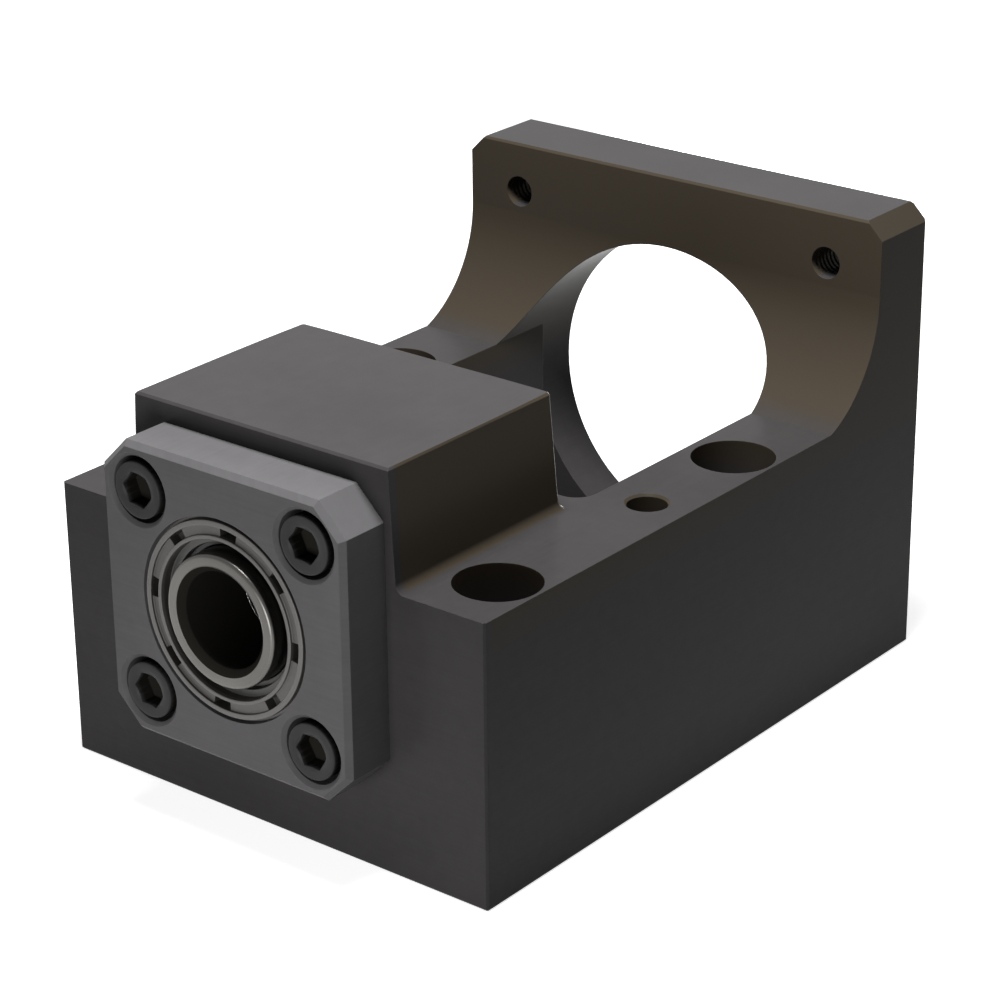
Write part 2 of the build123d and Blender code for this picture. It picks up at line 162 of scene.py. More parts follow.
class BracketSizes(bpy.types.PropertyGroup):
    """Sizes of the pieces that are made here, beside those read from the frame."""

    seal_groove_width: length_setting("Seal groove width", "Groove round the seal's rim", 0.45)
    seal_groove_depth: length_setting("Seal groove depth", "Depth of that groove", 0.8)
    seal_rim_width: length_setting("Seal rim width", "Raised outer rim", 0.7)
    seal_channel_width: length_setting("Seal channel width", "Shallow channel", 1.15)
    seal_channel_depth: length_setting("Seal channel depth", "Depth of the channel", 0.35)
    seal_inner_rim_width: length_setting("Seal inner rim width", "Raised inner rim", 0.5)
    seal_pocket_width: length_setting(
        "Seal pocket width", "Length of each pocket along the channel", 2.3
    )
    seal_pocket_depth: length_setting("Seal pocket depth", "Depth of each pocket", 1.6)
    seal_pocket_count: bpy.props.IntProperty(
        name="Seal pockets", description="Pockets round the channel", default=8,
    )
    seal_pocket_start: bpy.props.FloatProperty(
        name="Seal pocket start", description="Angle of the first pocket", unit="ROTATION",
        default=math.radians(-5.5),
    )
    seal_step_depth: length_setting("Seal step depth", "Depth of the step inside the seal", 1.5)
    seal_step_radius: length_setting("Seal step radius", "Bore of that step", 9.0)
    seal_lip_depth: length_setting("Seal lip depth", "Depth of the lip", 2.6)
    seal_lip_thickness: length_setting("Seal lip thickness", "Thickness of the lip", 0.8)
    seal_lip_gap: length_setting("Seal lip gap", "Gap between lip and collar", 0.1)
    collar_bore_radius: length_setting("Collar bore radius", "Radius of the collar's bore", 6.0)
    collar_bore_chamfer: length_setting("Collar bore chamfer", "Chamfer at the bore's mouth", 0.85)
    collar_edge_radius: length_setting("Collar edge radius", "Radius of the front edge", 0.45)
    head_radius: length_setting("Head radius", "Radius of a cover screw's head", 3.55)
    head_height: length_setting("Head height", "Height of the head", 4.0)
    head_round: length_setting("Head edge", "Radius of the head's upper edge", 0.25)
    shank_radius: length_setting("Shank radius", "Outer radius of the thread", 2.0)
    thread_pitch: length_setting("Thread pitch", "Pitch of the cover screws' thread", 0.7)
    socket_key: length_setting("Socket key", "Width across the socket's flats", 4.0)
    socket_depth: length_setting("Socket depth", "Depth of the hexagon", 2.2)
    socket_mouth: length_setting("Socket mouth", "Radius of the cone at the mouth", 2.35)
    knurl_count: bpy.props.IntProperty(
        name="Knurls", description="Knurls round each head", default=30,
    )


class BracketStage(bpy.types.PropertyGroup):
    """Camera and lamps."""

    camera_place: bpy.props.FloatVectorProperty(
        name="Camera", description="Place of the camera", subtype="TRANSLATION", unit="LENGTH",
        size=3, default=(0.22903, -0.27331, 0.18469),
    )
    camera_turn: bpy.props.FloatVectorProperty(
        name="Turn", description="Turn to the left, tilt down and roll of the camera",
        subtype="EULER", unit="ROTATION", size=3,
        default=(math.radians(38.831), math.radians(23.269), math.radians(-0.565)),
    )
    camera_lens: bpy.props.FloatProperty(
        name="Lens", description="Focal length on a 36 mm sensor, in millimetres",
        min=1, default=112.84,
    )
    top_light: power_setting("Top light", "Power of the box above", 1.05)
    front_light: power_setting("Front light", "Power of the low box in front", 0.14)
    rear_light: power_setting("Rear light", "Power of the box behind the motor plate", 0.25)
    ambient: bpy.props.FloatProperty(
        name="Ambient", description="Even light from all round", min=0, default=0.05,
    )


class Graph:
    """Short way to add nodes to a tree and to join their sockets."""

    def __init__(self, tree):
        self.tree = tree

    def feed(self, socket, value):
        """Link a socket to another one, or set its own value."""
        if isinstance(value, bpy.types.NodeSocket):
            self.tree.links.new(value, socket)
        else:
            socket.default_value = value

    def put(self, kind, inputs=None, **settings):
        """Add a node with these settings and inputs."""
        node = self.tree.nodes.new(kind)
        for name, value in settings.items():
            setattr(node, name, value)
        for name, value in (inputs or {}).items():
            self.feed(node.inputs[name], value)
        return node

    def math(self, operation, first, second=0.0, clamp=False):
        """One arithmetic step."""
        inputs = {0: first, 1: second}
        return self.put("ShaderNodeMath", inputs, operation=operation, use_clamp=clamp).outputs[0]

    def weighed(self, first, first_weight, second, second_weight):
        """Sum of two values, each times its weight."""
        first_part = self.math("MULTIPLY", first, first_weight)
        return self.math("ADD", first_part, self.math("MULTIPLY", second, second_weight))

    def distance(self, first, second):
        """Distance from the origin in two coordinates: the root of the sum of their squares."""
        return self.math("SQRT", self.weighed(first, first, second, second))

    def vary(self, noise, spread, base):
        """The base, plus the spread times how far the noise is from one half."""
        off_centre = self.math("SUBTRACT", noise, 0.5)
        return self.math("ADD", self.math("MULTIPLY", off_centre, spread), base)

    def scaled(self, colour, factor):
        """A colour times a factor."""
        inputs = {0: colour, "Scale": factor}
        return self.put("ShaderNodeVectorMath", inputs, operation="SCALE").outputs[0]

    def blend(self, factor, low, high):
        """Colour between low and high."""
        inputs = {0: factor, 6: low, 7: high}
        return self.put("ShaderNodeMix", inputs, data_type="RGBA").outputs[2]

    def step(self, value, start, end):
        """Smooth step from 0 at start to 1 at end."""
        inputs = {"Value": value, "From Min": start, "From Max": end}
        node = self.put("ShaderNodeMapRange", inputs, interpolation_type="SMOOTHSTEP")
        return node.outputs["Result"]

    def noise(self, vector, scale, detail=3.0, roughness=0.55):
        """Fractal noise around 0.5."""
        inputs = {"Vector": vector, "Scale": scale, "Detail": detail, "Roughness": roughness}
        return self.put("ShaderNodeTexNoise", inputs).outputs[0]

    def place(self):
        """Place on the piece, in metres."""
        return self.put("ShaderNodeTexCoord").outputs["Object"]

    def split(self, vector):
        """The three parts of a vector."""
        return self.put("ShaderNodeSeparateXYZ", {0: vector}).outputs

    def join(self, x, y, z):
        """A vector from three parts."""
        return self.put("ShaderNodeCombineXYZ", {0: x, 1: y, 2: z}).outputs[0]


def new_group(name, inputs, outputs):
    """Empty shader group with named sockets: returns its graph, its inputs and its output node."""
    tree = bpy.data.node_groups.new(name, "ShaderNodeTree")
    for title, kind, value in inputs:
        socket = tree.interface.new_socket(name=title, in_out="INPUT", socket_type=kind)
        socket.default_value = value
    for title, kind in outputs:
        tree.interface.new_socket(name=title, in_out="OUTPUT", socket_type=kind)
    graph = Graph(tree)
    return graph, graph.put("NodeGroupInput").outputs, graph.put("NodeGroupOutput")


def make_oxide_group():
    """Blackened steel: slow patches of a second colour, fine mottling and a dense grain."""
    graph, given, result = new_group(
        "blackened_steel",
        [
            ("Colour", COLOUR, (0.06, 0.06, 0.06, 1)),
            ("Second Colour", COLOUR, (0.07, 0.06, 0.05, 1)),
            ("Mottling", FLOAT, 0.2),
            ("Roughness", FLOAT, 0.4),
            ("Roughness Spread", FLOAT, 0.06),
        ],
        [
            ("Colour", COLOUR),
            ("Roughness", FLOAT),
            ("Height", FLOAT),
        ],
    )
    place = graph.place()
    patches = graph.step(graph.noise(place, scale=38.0, detail=2.0), start=0.35, end=0.65)
    mottling = graph.noise(place, scale=520.0, detail=4.0, roughness=0.6)
    grain = graph.noise(place, scale=3600.0, detail=2.0, roughness=0.5)
    colour = graph.blend(patches, given["Colour"], given["Second Colour"])
    mottled = graph.scaled(colour, graph.vary(mottling, spread=given["Mottling"], base=1.0))
    graph.feed(result.inputs["Colour"], mottled)
    roughness = graph.vary(mottling, given["Roughness Spread"], given["Roughness"])
    graph.feed(result.inputs["Roughness"], roughness)
    graph.feed(result.inputs["Height"], graph.weighed(grain, 0.5, mottling, 0.5))
    return graph.tree


def make_tool_marks_group():
    """Milled streaks: noise that is dense across the feed and slow along it, on each flat side."""
    graph, given, result = new_group(
        "milled_streaks",
        [("Across", FLOAT, 2200.0), ("Along", FLOAT, 30.0)],
        [("Streak", FLOAT)],
    )
    x, y, z = graph.split(graph.place())
    normal = graph.put("ShaderNodeNewGeometry").outputs["True Normal"]
    _, facing_y, facing_z = graph.split(normal)
    on_top = graph.math("MULTIPLY", facing_z, facing_z)
    on_front = graph.math("MULTIPLY", facing_y, facing_y)
    off_top = graph.math("SUBTRACT", 1.0, on_top)
    off_front = graph.math("SUBTRACT", 1.0, on_front)
    across = graph.weighed(x, on_top, z, off_top)
    along = graph.weighed(y, off_front, x, on_front)
    vector = graph.join(
        graph.math("MULTIPLY", across, given["Across"]),
        graph.math("MULTIPLY", along, given["Along"]),
        0.0,
    )
    graph.feed(result.inputs["Streak"], graph.noise(vector, scale=1.0, detail=2.0, roughness=0.6))
    return graph.tree


def make_turned_rings_group():
    """Turned rings: noise of the distance from the screw's axis, and a little of the turn."""
    graph, given, result = new_group(
        "turned_rings",
        [("Density", FLOAT, 9000.0)],
        [("Ring", FLOAT)],
    )
    turn_weight = 0.4
    x, y, z = graph.split(graph.place())
    from_axis = graph.math("SUBTRACT", z, SCREW_CENTRE[1])
    radius = graph.distance(x, from_axis)
    turn = graph.math("ARCTAN2", from_axis, x)
    vector = graph.join(
        graph.math("MULTIPLY", radius, given["Density"]),
        graph.math("MULTIPLY", y, given["Density"]),
        graph.math("MULTIPLY", turn, turn_weight),
    )
    graph.feed(result.inputs["Ring"], graph.noise(vector, scale=1.0, detail=2.0, roughness=0.6))
    return graph.tree


def make_edge_group():
    """Soft edges: the bevelled normal, and a mask where it leaves the face's own normal."""
    graph, given, result = new_group(
        "soft_edges",
        [("Radius", FLOAT, 0.0002)],
        [("Normal", VECTOR), ("Mask", FLOAT)],
    )
    bevel = graph.put("ShaderNodeBevel", {"Radius": given["Radius"]}, samples=6).outputs[0]
    flat = graph.put("ShaderNodeNewGeometry").outputs["Normal"]
    facing = graph.put("ShaderNodeVectorMath", {0: bevel, 1: flat}, operation="DOT_PRODUCT")
    turned_away = graph.math("SUBTRACT", 1.0, facing.outputs["Value"])
    on_edge = graph.step(turned_away, start=0.01, end=0.22)
    broken = graph.noise(graph.place(), scale=900.0, detail=3.0, roughness=0.65)
    mask = graph.math("MULTIPLY", on_edge, graph.step(broken, start=0.38, end=0.62))
    graph.feed(result.inputs["Normal"], bevel)
    graph.feed(result.inputs["Mask"], mask)
    return graph.tree


def make_saddle_group():
    """Saddle mask: 1 on the upright faces above the rails and behind the front, 0 elsewhere."""
    graph, given, result = new_group(
        "saddle_faces",
        [("Rail Height", FLOAT, 0.0365), ("Front", FLOAT, -0.032)],
        [("Mask", FLOAT)],
    )
    fade_below_rail = 6 * MM
    fade_behind_front = 1 * MM
    _, y, z = graph.split(graph.place())
    _, _, upward = graph.split(graph.put("ShaderNodeNewGeometry").outputs["True Normal"])
    fade_start = graph.math("SUBTRACT", given["Rail Height"], fade_below_rail)
    above = graph.step(z, fade_start, given["Rail Height"])
    behind = graph.step(y, given["Front"], graph.math("ADD", given["Front"], fade_behind_front))
    lying = graph.step(graph.math("ABSOLUTE", upward), start=0.8, end=0.97)
    upright = graph.math("SUBTRACT", 1.0, lying)
    mask = graph.math("MULTIPLY", graph.math("MULTIPLY", above, behind), upright)
    graph.feed(result.inputs["Mask"], mask)
    return graph.tree


def make_hollow_group():
    """Hollow mask round the screw's axis: 1 inside a radius, 0 outside, with a short soft step."""
    graph, given, result = new_group(
        "hollow_round_axis",
        [("Radius", FLOAT, 0.0068)],
        [("Mask", FLOAT)],
    )
    x, _, z = graph.split(graph.place())
    radius = graph.distance(x, graph.math("SUBTRACT", z, SCREW_CENTRE[1]))
    outside = graph.step(radius, given["Radius"], graph.math("ADD", given["Radius"], HOLLOW_FADE))
    graph.feed(result.inputs["Mask"], graph.math("SUBTRACT", 1.0, outside))
    return graph.tree


def make_depth_group():
    """Depth mask along Y: 0 at the start and 1 at the end, for painted shade inside sockets and
    pockets.
    """
    graph, given, result = new_group(
        "depth_along_axis",
        [("Start", FLOAT, 0.0), ("End", FLOAT, 0.001)],
        [("Mask", FLOAT)],
    )
    _, y, _ = graph.split(graph.place())
    graph.feed(result.inputs["Mask"], graph.step(y, given["Start"], given["End"]))
    return graph.tree


def make_thread_group():
    """Thread in a bore along Y: a triangle wave of the travel plus the turn, inside a radius."""
    graph, given, result = new_group(
        "thread_in_bore",
        [
            ("Centre X", FLOAT, 0.0),
            ("Centre Z", FLOAT, 0.0),
            ("Radius", FLOAT, 0.002),
            ("Pitch", FLOAT, 0.0008),
        ],
        [("Height", FLOAT)],
    )
    radius_allowance = 1.04
    x, y, z = graph.split(graph.place())
    side = graph.math("SUBTRACT", graph.math("ABSOLUTE", x), given["Centre X"])
    above = graph.math("ABSOLUTE", graph.math("SUBTRACT", z, SCREW_CENTRE[1]))
    rise = graph.math("SUBTRACT", above, given["Centre Z"])
    widest = graph.math("MULTIPLY", given["Radius"], radius_allowance)
    inside = graph.math("LESS_THAN", graph.distance(side, rise), widest)
    turn = graph.math("DIVIDE", graph.math("ARCTAN2", rise, side), math.tau)
    travel = graph.math("DIVIDE", y, given["Pitch"])
    wave = graph.math("MULTIPLY", graph.math("PINGPONG", graph.math("ADD", travel, turn), 0.5), 2.0)
    graph.feed(result.inputs["Height"], graph.math("MULTIPLY", wave, inside))
    return graph.tree


GROUP_MAKERS = {
    "blackened_steel": make_oxide_group,
    "milled_streaks": make_tool_marks_group,
    "turned_rings": make_turned_rings_group,
    "soft_edges": make_edge_group,
    "thread_in_bore": make_thread_group,
    "saddle_faces": make_saddle_group,
    "hollow_round_axis": make_hollow_group,
    "depth_along_axis": make_depth_group,
}


def use_group(graph, name, inputs=None):
    """Place a shared group in a material, making it the first time."""
    tree = bpy.data.node_groups.get(name) or GROUP_MAKERS[name]()
    node = graph.put("ShaderNodeGroup", node_tree=tree)
    for title, value in (inputs or {}).items():
        graph.feed(node.inputs[title], value)
    return node.outputs


def start_material(name):
    """New material: returns it with its graph and its Principled BSDF."""
    material = bpy.data.materials.new(name)
    material.use_nodes = True
    shader = material.node_tree.nodes["Principled BSDF"]
    return material, Graph(material.node_tree), shader


def opaque(colour):
    """A colour with full alpha."""
    return (*colour, 1.0)


def shaded(colour, share):
    """A colour times a share: darker below 1, lighter above it."""
    return [part * share for part in colour]


def feed_surface(graph, shader, colour, roughness, normal, height, strength, depth):
    """Feed a shader its colour and roughness, and the normal with the height as a bump on it."""
    bump = graph.put("ShaderNodeBump", {
        "Strength": strength, "Distance": depth, "Height": height, "Normal": normal,
    })
    graph.feed(shader.inputs["Base Color"], colour)
    graph.feed(shader.inputs["Roughness"], roughness)
    graph.feed(shader.inputs["Normal"], bump.outputs[0])


def oxide_material(name, colour, second_share, edge, mottling=0.22, marks="milled_streaks",
                   mark_depth=0.25, thread=None, shade_tint=None, painted_shade=None):
    """Blackened steel with tool marks and soft edges, lighter there as wear and painted highlight,
    and, where asked, threads in its bores, a painted warm shade tint on its saddle faces and
    painted shade in its sockets."""
    finish = bpy.context.scene.bracket_finish
    grain_weight, thread_weight = 0.5, 40.0
    material, graph, shader = start_material(name)
    oxide = use_group(graph, "blackened_steel", {
        "Colour": opaque(colour), "Second Colour": opaque(shaded(colour, second_share)),
        "Mottling": mottling, "Roughness": finish.oxide_roughness,
    })
    streak = use_group(graph, marks)[0]
    edges = use_group(graph, "soft_edges", {"Radius": finish.edge_radius})
    # Edges lighter, part wear and part painted highlight.
    wear_and_highlight = graph.math("MULTIPLY", edges["Mask"], edge)
    streaked = graph.scaled(oxide["Colour"], graph.vary(streak, spread=0.16, base=1.0))
    colour_out = graph.blend(wear_and_highlight, streaked, opaque(finish.edge_wear_highlight_colour))
    # Painted shade: the saddle faces, in the shade between the boss and the motor plate, take a
    # warm tint.
    if shade_tint:
        saddle = use_group(graph, "saddle_faces")["Mask"]
        colour_out = graph.blend(saddle, colour_out, opaque(shade_tint))
    # Painted shade: black and without gloss deeper in the sockets.
    if painted_shade:
        socket_shade = use_group(graph, "depth_along_axis", painted_shade)["Mask"]
        colour_out = graph.blend(socket_shade, colour_out, opaque(finish.painted_shade_colour))
        lost = graph.math("MULTIPLY", socket_shade, OXIDE_SPECULAR)
        specular = graph.math("SUBTRACT", OXIDE_SPECULAR, lost)
        graph.feed(shader.inputs["Specular IOR Level"], specular)
    else:
        shader.inputs["Specular IOR Level"].default_value = OXIDE_SPECULAR
    height = graph.weighed(streak, mark_depth, oxide["Height"], grain_weight)
    if thread:
        turns = use_group(graph, "thread_in_bore", thread)
        height = graph.math("ADD", height, graph.math("MULTIPLY", turns["Height"], thread_weight))
    rough = graph.vary(streak, spread=0.06, base=oxide["Roughness"])
    feed_surface(
        graph, shader, colour_out, rough, edges["Normal"], height, strength=0.12, depth=0.02 * MM,
    )
    return material


def steel_material(name, colour, roughness, density=9000.0, stain=0.3, bore_shade_radius=None):
    """Bare turned or ground metal: rings in its roughness and height and faint stains in its
    colour and, where asked, painted shade inside a radius round the screw's axis."""
    finish = bpy.context.scene.bracket_finish
    material, graph, shader = start_material(name)
    grain_weight, bare_specular = 0.3, 0.5
    ring = use_group(graph, "turned_rings", {"Density": density})[0]
    oxide = use_group(graph, "blackened_steel", {
        "Colour": opaque(colour), "Second Colour": opaque(shaded(colour, 1 - stain)),
        "Mottling": 0.12, "Roughness": roughness,
    })
    edges = use_group(graph, "soft_edges", {"Radius": finish.edge_radius})
    colour_out = graph.scaled(oxide["Colour"], graph.vary(ring, spread=0.2, base=1.0))
    height = graph.math("ADD", ring, graph.math("MULTIPLY", oxide["Height"], grain_weight))
    shader.inputs["Metallic"].default_value = 1.0
    # Painted shade: inside this radius the bore is black, not metal and less glossy.
    if bore_shade_radius:
        black = use_group(graph, "hollow_round_axis", {"Radius": bore_shade_radius})["Mask"]
        colour_out = graph.blend(black, colour_out, opaque(finish.painted_shade_colour))
        bare = graph.math("SUBTRACT", 1.0, black)
        graph.feed(shader.inputs["Metallic"], bare)
        specular = graph.math("MULTIPLY", bare, bare_specular)
        graph.feed(shader.inputs["Specular IOR Level"], specular)
    rough = graph.vary(ring, spread=0.15, base=oxide["Roughness"])
    feed_surface(
        graph, shader, colour_out, rough, edges["Normal"], height, strength=0.3, depth=0.015 * MM,
    )
    return material


def moulded_material(name, colour, roughness, sheen, dark=None, band=None, pockets=None):
    """Moulded polymer or rubber: matt, with a fine pebble grain and faint rings from its mould.
    A painted shade colour fills a band between two radii and, deeper in, painted black shade fills
    the pockets."""
    ring_weight = 0.4
    material, graph, shader = start_material(name)
    place = graph.place()
    pebble = graph.noise(place, scale=2600.0, detail=3.0, roughness=0.6)
    cloud = graph.noise(place, scale=240.0, detail=3.0, roughness=0.6)
    ring = use_group(graph, "turned_rings", {"Density": 5000.0})[0]
    edges = use_group(graph, "soft_edges", {"Radius": 0.08 * MM})
    colour_out = graph.scaled(tuple(colour), graph.vary(cloud, spread=0.35, base=1.0))
    height = graph.math("ADD", pebble, graph.math("MULTIPLY", ring, ring_weight))
    # Painted shade in the seal's recessed channel and, darker, in its pockets.
    if band:
        inside, outside = (
            use_group(graph, "hollow_round_axis", {"Radius": radius})["Mask"] for radius in band
        )
        in_band = graph.math("SUBTRACT", outside, inside, clamp=True)
        colour_out = graph.blend(in_band, colour_out, opaque(dark))
        deep = use_group(graph, "depth_along_axis", pockets)["Mask"]
        painted_shade = bpy.context.scene.bracket_finish.painted_shade_colour
        colour_out = graph.blend(graph.math("MULTIPLY", deep, outside), colour_out, opaque(painted_shade))
    rough = graph.vary(pebble, spread=0.15, base=roughness)
    feed_surface(
        graph, shader, colour_out, rough, edges["Normal"], height, strength=0.35, depth=0.02 * MM,
    )
    shader.inputs["Sheen Weight"].default_value = sheen
    return material


def dress(node_name, material):
    """Give a CAD node its finish."""
    node = frame["nodes"][node_name]
    if not node.material_slots:
        node.data.materials.append(material)
    for slot in node.material_slots:
        slot.material = material


def dress_all(prefix, material):
    """Give every CAD node whose name starts like this its finish."""
    for name in frame["nodes"]:
        if name.startswith(prefix):
            dress(name, material)


def mount_sizes(name):
    """Sizes of one of the part's mounts, in millimetres."""
    return next(mount["dims"] for mount in frame["record"]["mounts"] if mount["name"] == name)


def grid_quads(rows, columns, closed_rows):
    """Corner numbers of the quads of a grid that is closed along its columns."""
    first = np.arange(rows if closed_rows else rows - 1)[:, None]
    second = (first + 1) % rows
    column = np.arange(columns)[None, :]
    after = (column + 1) % columns
    corners = [
        first * columns + column, second * columns + column,
        second * columns + after, first * columns + after,
    ]
    return np.stack(corners, axis=-1).reshape(-1, 4)


def signed_volume(points, faces):
    """Volume inside a closed mesh: the sum of its faces' cones to the origin."""
    total = 0.0
    for corners in (faces[:, [0, 1, 2]], faces[:, [0, 2, 3]]):
        a, b, c = (points[corners[:, i]] for i in range(3))
        total += np.einsum("ij,ij->i", a, np.cross(b, c)).sum() / 6
    return total


def turned_points(radius, depth, front_y, centre):
    """Points of a surface turned about Y: across by the radius, along by the depth."""
    angle = np.linspace(0, math.tau, radius.shape[1], endpoint=False)[None, :]
    x = centre[0] + radius * np.cos(angle)
    z = centre[1] + radius * np.sin(angle)
    return np.stack([x, front_y + depth, z], axis=-1).reshape(-1, 3)


def turned_grids(profile, columns):
    """Radius and depth grids of an outline that is the same at every angle."""
    ones = np.ones((1, columns))
    return profile[:, :1] * ones, profile[:, 1:] * ones


def capped(points, rows, columns):
    """Quads of a turned surface whose first and last rows are closed to a pole at their middle."""
    quads = grid_quads(rows, columns, False)
    column = np.arange(columns)
    after = (column + 1) % columns
    start = points[:columns].mean(axis=0)
    end = points[-columns:].mean(axis=0)
    start_index, end_index = len(points), len(points) + 1
    last = (rows - 1) * columns
    start_fan = np.stack([np.full(columns, start_index), column, after, after], axis=-1)
    end_pole = np.full(columns, end_index)
    end_fan = np.stack([end_pole, last + after, last + column, last + column], axis=-1)
    return np.vstack([points, start, end]), np.vstack([quads, start_fan, end_fan])


def make_piece(name, points, faces, material, body, stands_for):
    """Mesh piece with outward faces that rides on a body and stands for a CAD node."""
    if signed_volume(points, faces) < 0:
        faces = faces[:, ::-1]
    mesh = bpy.data.meshes.new(name)
    is_triangle = (faces[:, 2] == faces[:, 3]) | (faces[:, 0] == faces[:, 1])
    corners = [
        list(dict.fromkeys(face)) if triangle else face
        for face, triangle in zip(faces.tolist(), is_triangle.tolist())
    ]
    mesh.from_pydata(points.tolist(), [], corners)
    mesh.polygons.foreach_set("use_smooth", np.ones(len(mesh.polygons), dtype=bool))
    mesh.set_sharp_from_angle(angle=SHARP_ANGLE)
    mesh.update()
    mesh.materials.append(material)
    piece = bpy.data.objects.new(name, mesh)
    bpy.context.scene.collection.objects.link(piece)
    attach(piece, body)
    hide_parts(stands_for)
    return piece


def rounded_profile(corners, radius, steps=4):
    """Closed outline with each corner replaced by a short curve: a quadratic blend of the two
    points a radius before and after the corner, weighted towards the corner."""
    longest_share = 0.45
    corners = np.asarray(corners, dtype=float)
    before = np.roll(corners, 1, axis=0) - corners
    after = np.roll(corners, -1, axis=0) - corners
    length_before = np.linalg.norm(before, axis=1, keepdims=True)
    length_after = np.linalg.norm(after, axis=1, keepdims=True)
    reach = np.minimum(radius, longest_share * np.minimum(length_before, length_after))
    start = corners + before / length_before * reach
    end = corners + after / length_after * reach
    t = np.linspace(0, 1, steps)[None, :, None]
    curve = (1 - t) ** 2 * start[:, None] + 2 * t * (1 - t) * corners[:, None] + t**2 * end[:, None]
    return curve.reshape(-1, 2)


class BRACKET_OT_finish_block(bpy.types.Operator):
    """Blackened steel for the one-piece block, with threads in the motor bolts' bores"""

    bl_idname = "bracket.finish_block"
    bl_label = "Finish Block"

    def execute(self, context):
        finish = context.scene.bracket_finish
        bolts = mount_sizes("motor_bolts")
        half_spacing = bolts["spacing_x_mm"] * MM / 2
        thread = {
            "Centre X": half_spacing, "Centre Z": half_spacing,
            "Radius": bolts["hole_r_mm"] * MM, "Pitch": 0.8 * MM,
        }
        # The block's saddle faces get a painted warm shade tint.
        dress("bracket_body", oxide_material(
            "block_oxide", finish.body_colour, second_share=1.12, edge=0.2,
            thread=thread, shade_tint=finish.body_shade_tint,
        ))
        return {"FINISHED"}


class BRACKET_OT_finish_cover(bpy.types.Operator):
    """Blackened steel for the bearing cover, a little greyer than the block"""

    bl_idname = "bracket.finish_cover"
    bl_label = "Finish Cover"

    def execute(self, context):
        dress("bearing_cover", oxide_material(
            "cover_oxide", context.scene.bracket_finish.cover_colour, second_share=0.9, edge=0.8,
            mottling=0.16,
        ))
        return {"FINISHED"}


class BRACKET_OT_make_cap_screws(bpy.types.Operator):
    """Four socket cap screws with knurled heads, coned sockets and cut threads"""

    bl_idname = "bracket.make_cap_screws"
    bl_label = "Make Cover Screws"

    def execute(self, context):
        finish, sizes = context.scene.bracket_finish, context.scene.bracket_sizes
        radius, depth = self.screw_grids(sizes)
        low, high = SCREW_BOX
        reach_x = (high.x - low.x) / 2 - sizes.head_radius
        reach_z = (high.z - low.z) / 2 - sizes.head_radius
        points, faces = [], []
        columns = radius.shape[1]
        for index, (side, rise) in enumerate([(-1, 1), (1, 1), (-1, -1), (1, -1)]):
            centre = (SCREW_CENTRE[0] + side * reach_x, SCREW_CENTRE[1] + rise * reach_z)
            # Each screw is turned by a column more than the one before, as no two stop alike.
            turned = np.roll(radius, index - 3, axis=1)
            one, quads = capped(turned_points(turned, depth, low.y, centre), len(radius), columns)
            faces.append(quads + sum(len(p) for p in points))
            points.append(one)
        # Painted shade deeper in each socket.
        material = oxide_material(
            "screw_oxide", finish.screw_colour, second_share=0.85, edge=0.9, mark_depth=0.1,
            painted_shade={"Start": low.y + 0.25 * MM, "End": low.y + 0.9 * MM},
        )
        make_piece(
            "socket_cap_screws", np.vstack(points), np.vstack(faces), material,
            "housing", "cover_screws",
        )
        return {"FINISHED"}

    @staticmethod
    def screw_grids(sizes):
        """Radius and depth grids of one screw, from the socket's middle over the head to the tip.
        The socket's radius is the larger of its hexagon and its cone. The hexagon's radius is half
        the key over the cosine of the angle from the nearest flat. The thread's radius falls from
        the shank's by a triangle wave of the depth over the pitch less the turn."""
        drill_share, drill_depth = 0.3, 0.3 * MM
        cone_angle, cone_rows, round_rows = math.radians(60), 7, 6
        columns_per_knurl, knurl_depth = 4, 0.07 * MM
        under_head, tip_chamfer = 0.1 * MM, 0.5 * MM
        plain_shank, plain_tip = 1.2 * MM, 0.4 * MM
        thread_depth = 0.614 * sizes.thread_pitch
        rows_per_pitch, crest, root = 6, 0.1, 0.85
        columns = columns_per_knurl * sizes.knurl_count
        angle = np.linspace(0, math.tau, columns, endpoint=False)
        ones = np.ones(columns)
        from_flat = angle % (math.pi / 3) - math.pi / 6
        hexagon = sizes.socket_key / 2 / np.cos(from_flat)
        length = SCREW_BOX[1].y - SCREW_BOX[0].y
        cone_width = sizes.socket_mouth - sizes.socket_key / 2
        mouth_depth = cone_width / math.tan(cone_angle)
        rows = [(drill_share * hexagon, sizes.socket_depth + drill_depth)]
        rows += [(hexagon, sizes.socket_depth)]
        for share in np.linspace(1, 0, cone_rows):
            cone = sizes.socket_mouth - cone_width * share
            rows.append((np.maximum(hexagon, cone), mouth_depth * share))
        for turn in np.linspace(0, math.pi / 2, round_rows):
            radius = sizes.head_radius - sizes.head_round * (1 - math.sin(turn))
            rows.append((radius * ones, sizes.head_round * (1 - math.cos(turn))))
        wave = np.abs((np.arange(columns) % columns_per_knurl) - columns_per_knurl / 2)
        knurled = sizes.head_radius - knurl_depth * wave / (columns_per_knurl / 2)
        knurl_start, knurl_end = sizes.head_round + 0.25 * MM, sizes.head_height - 0.35 * MM
        rows += [(knurled, knurl_start), (knurled, knurl_end)]
        rows += [((sizes.head_radius - under_head) * ones, sizes.head_height)]
        rows += [(sizes.shank_radius * ones, sizes.head_height)]
        start, end = sizes.head_height + plain_shank, length - plain_tip
        travel = np.arange(start, end, sizes.thread_pitch / rows_per_pitch)
        wave = np.abs(((travel[:, None] / sizes.thread_pitch - angle / math.tau) % 1) * 2 - 1)
        cut = thread_depth * np.clip(wave - crest, 0, root)
        rows += [(sizes.shank_radius - row, place) for row, place in zip(cut, travel)]
        rows += [((sizes.shank_radius - tip_chamfer) * ones, length)]
        radius = np.array([row for row, _ in rows])
        depth = np.array([place for _, place in rows])[:, None] * ones[None, :]
        return radius, depth


